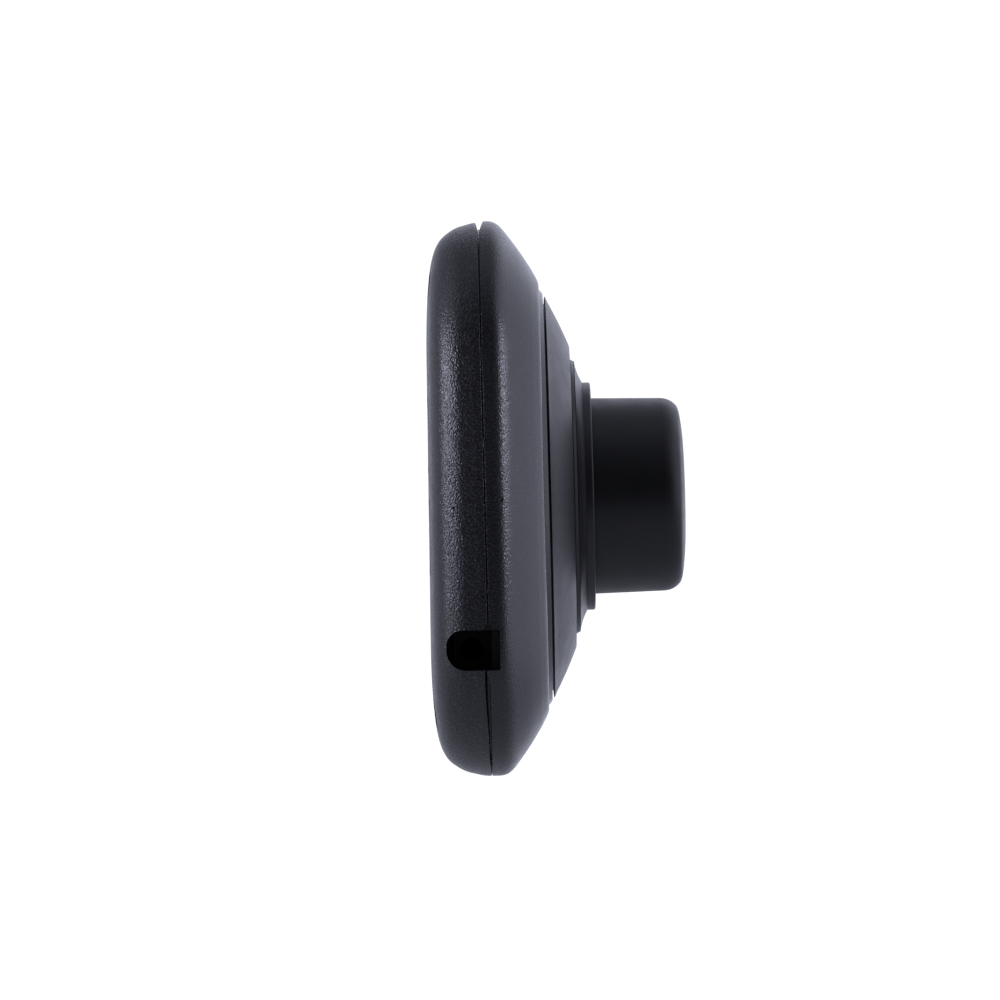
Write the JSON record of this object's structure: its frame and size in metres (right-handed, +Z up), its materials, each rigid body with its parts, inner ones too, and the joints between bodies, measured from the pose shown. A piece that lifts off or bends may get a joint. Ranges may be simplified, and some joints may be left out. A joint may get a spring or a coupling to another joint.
{
  "type": "dash camera",
  "caption": "Windscreen dash camera: flat two-part case, round stepped lens surround and barrel, rear screen with keys, side sockets and a top bracket rail.",
  "frame": {"origin": "centre of the bracket rail's flat top face, in the pocket in the case's top edge", "axes": "+Z up, the lens looks along -Y, the screen faces +Y, X along the case's width"},
  "size_m": [0.088, 0.0286, 0.06],
  "materials": {
    "case_front": "fine spark texture on the band, satin on the taper",
    "case_rear": "spark texture",
    "rail_plastic": "satin",
    "bezel_plastic": "satin",
    "collar_plastic": "satin",
    "barrel_plastic": "smooth matte",
    "baffle_plastic": "matte, stepped",
    "key_plastic": "satin",
    "lens_tube_metal": "black anodised",
    "lens_glass": "coated, polished",
    "filter_glass": "coated, polished",
    "window_glass": "polished, smoke tinted",
    "screen_glass": "polished",
    "inner_plastic": "as moulded",
    "sensor_ceramic": "fine ceramic",
    "board": "green solder mask",
    "connector_plastic": "as moulded",
    "bright_steel": "nickel plated",
    "black_steel": "black oxide",
    "chip_epoxy": "moulded epoxy",
    "ferrite": "pressed ferrite",
    "socket_plastic": "as moulded",
    "card_plastic": "fine matte",
    "battery_foil": "laminated foil",
    "foam_tape": "foam",
    "foam_black": "foam",
    "speaker_can": "satin",
    "backlight_tray": "pressed",
    "ribbon_film": "polyimide film",
    "light_pipe": "frosted",
    "led_package": "clear cap",
    "switch_plunger": "as moulded"
  },
  "bodies": {
    "camera": {"front_shell": "case_front", "rear_shell": "case_rear", "bracket_rail": "rail_plastic", "front_bezel": "bezel_plastic", "lens_collar": "collar_plastic", "lens_barrel": "barrel_plastic", "lens_baffle": "baffle_plastic", "lens_tube": "lens_tube_metal", "front_lens_element": "lens_glass", "middle_lens_element": "lens_glass", "rear_lens_element": "lens_glass", "lens_lock_ring": "lens_tube_metal", "lens_holder": "inner_plastic", "infrared_filter": "filter_glass", "image_sensor": "sensor_ceramic", "sensor_board": "board", "board_connector": "connector_plastic", "holder_screw_1": "bright_steel", "holder_screw_2": "bright_steel", "main_board": "board", "processor_chip": "chip_epoxy", "memory_chip": "chip_epoxy", "power_inductor": "ferrite", "av_jack": "socket_plastic", "usb_socket": "bright_steel", "card_socket": "bright_steel", "battery_cell": "battery_foil", "battery_tape": "foam_tape", "speaker": "speaker_can", "microphone": "bright_steel", "screen_window": "window_glass", "screen_gasket": "foam_black", "screen_panel": "screen_glass", "screen_backlight": "backlight_tray", "screen_ribbon": "ribbon_film", "ribbon_connector": "connector_plastic", "status_light_pipe": "light_pipe", "status_light": "led_package", "reset_switch": "bright_steel", "menu_switch": "bright_steel", "select_switch": "bright_steel", "mode_switch": "bright_steel", "power_switch": "bright_steel", "lock_switch": "bright_steel", "case_screw_1": "black_steel", "case_screw_2": "black_steel", "case_screw_3": "black_steel", "case_screw_4": "black_steel"},
    "menu_key": {"menu_key": "key_plastic", "menu_switch_plunger": "switch_plunger"},
    "select_key": {"select_key": "key_plastic", "select_switch_plunger": "switch_plunger"},
    "mode_key": {"mode_key": "key_plastic", "mode_switch_plunger": "switch_plunger"},
    "power_key": {"power_key": "key_plastic", "power_switch_plunger": "switch_plunger"},
    "lock_key": {"lock_key": "key_plastic", "lock_switch_plunger": "switch_plunger"},
    "memory_card": {"memory_card": "card_plastic"},
    "reset_plunger": {"reset_plunger": "switch_plunger"}
  },
  "joints": [
    {"name": "menu_key_press", "type": "slide", "parent": "camera", "child": "menu_key", "axis": [0, -1, 0], "range_m": [0, 0.0003], "stiffness_N_per_m": 800, "springref_m": -0.0003},
    {"name": "select_key_press", "type": "slide", "parent": "camera", "child": "select_key", "axis": [0, -1, 0], "range_m": [0, 0.0003], "stiffness_N_per_m": 800, "springref_m": -0.0003},
    {"name": "mode_key_press", "type": "slide", "parent": "camera", "child": "mode_key", "axis": [0, -1, 0], "range_m": [0, 0.0003], "stiffness_N_per_m": 800, "springref_m": -0.0003},
    {"name": "power_key_press", "type": "slide", "parent": "camera", "child": "power_key", "axis": [0, -1, 0], "range_m": [0, 0.0003], "stiffness_N_per_m": 800, "springref_m": -0.0003},
    {"name": "lock_key_press", "type": "slide", "parent": "camera", "child": "lock_key", "axis": [0, -1, 0], "range_m": [0, 0.0003], "stiffness_N_per_m": 800, "springref_m": -0.0003},
    {"name": "memory_card_slide", "type": "slide", "parent": "camera", "child": "memory_card", "axis": [0, 0, -1], "range_m": [0, 0.0165]},
    {"name": "reset_press", "type": "slide", "parent": "camera", "child": "reset_plunger", "axis": [0, 0, 1], "range_m": [0, 0.0003], "stiffness_N_per_m": 600, "springref_m": -0.0003}
  ]
}
